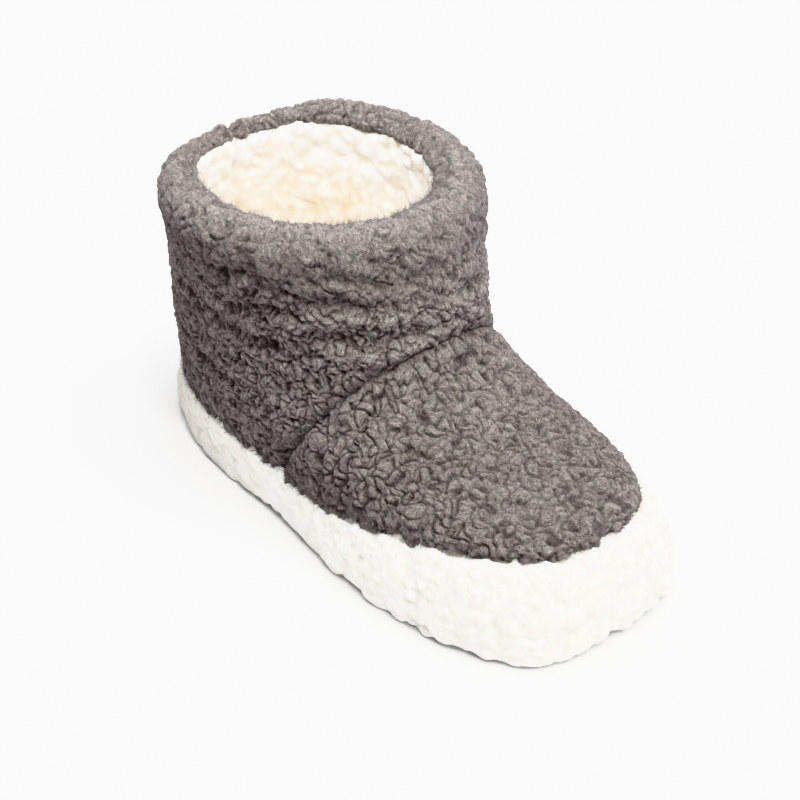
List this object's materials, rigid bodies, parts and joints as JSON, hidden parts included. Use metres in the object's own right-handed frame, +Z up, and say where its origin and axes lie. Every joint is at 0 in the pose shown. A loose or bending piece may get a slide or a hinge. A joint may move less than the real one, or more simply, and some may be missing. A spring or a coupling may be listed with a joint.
{
  "type": "bootie slipper",
  "caption": "Ankle-high house slipper in looped grey fleece with a rolled collar, a cream fleece lining and a padded white fleece band round a flat soft sole; left foot.",
  "frame": {"origin": "on the floor, at the middle of the bootie's length and width", "axes": "+X to the toe, +Y to the wearer's left, which is the lateral side, +Z up"},
  "size_m": [0.26, 0.1306, 0.14],
  "materials": {
    "grey_fleece": "looped fleece in tight curls, matt",
    "white_fleece": "looped fleece in soft lumps, matt",
    "cream_fleece": "looped fleece in soft lumps, matt",
    "sole_felt": "pressed felt, matt"
  },
  "bodies": {
    "root": {"upper": "grey_fleece", "sidewall_band": "white_fleece", "insole": "cream_fleece", "outsole": "sole_felt"}
  },
  "joints": []
}
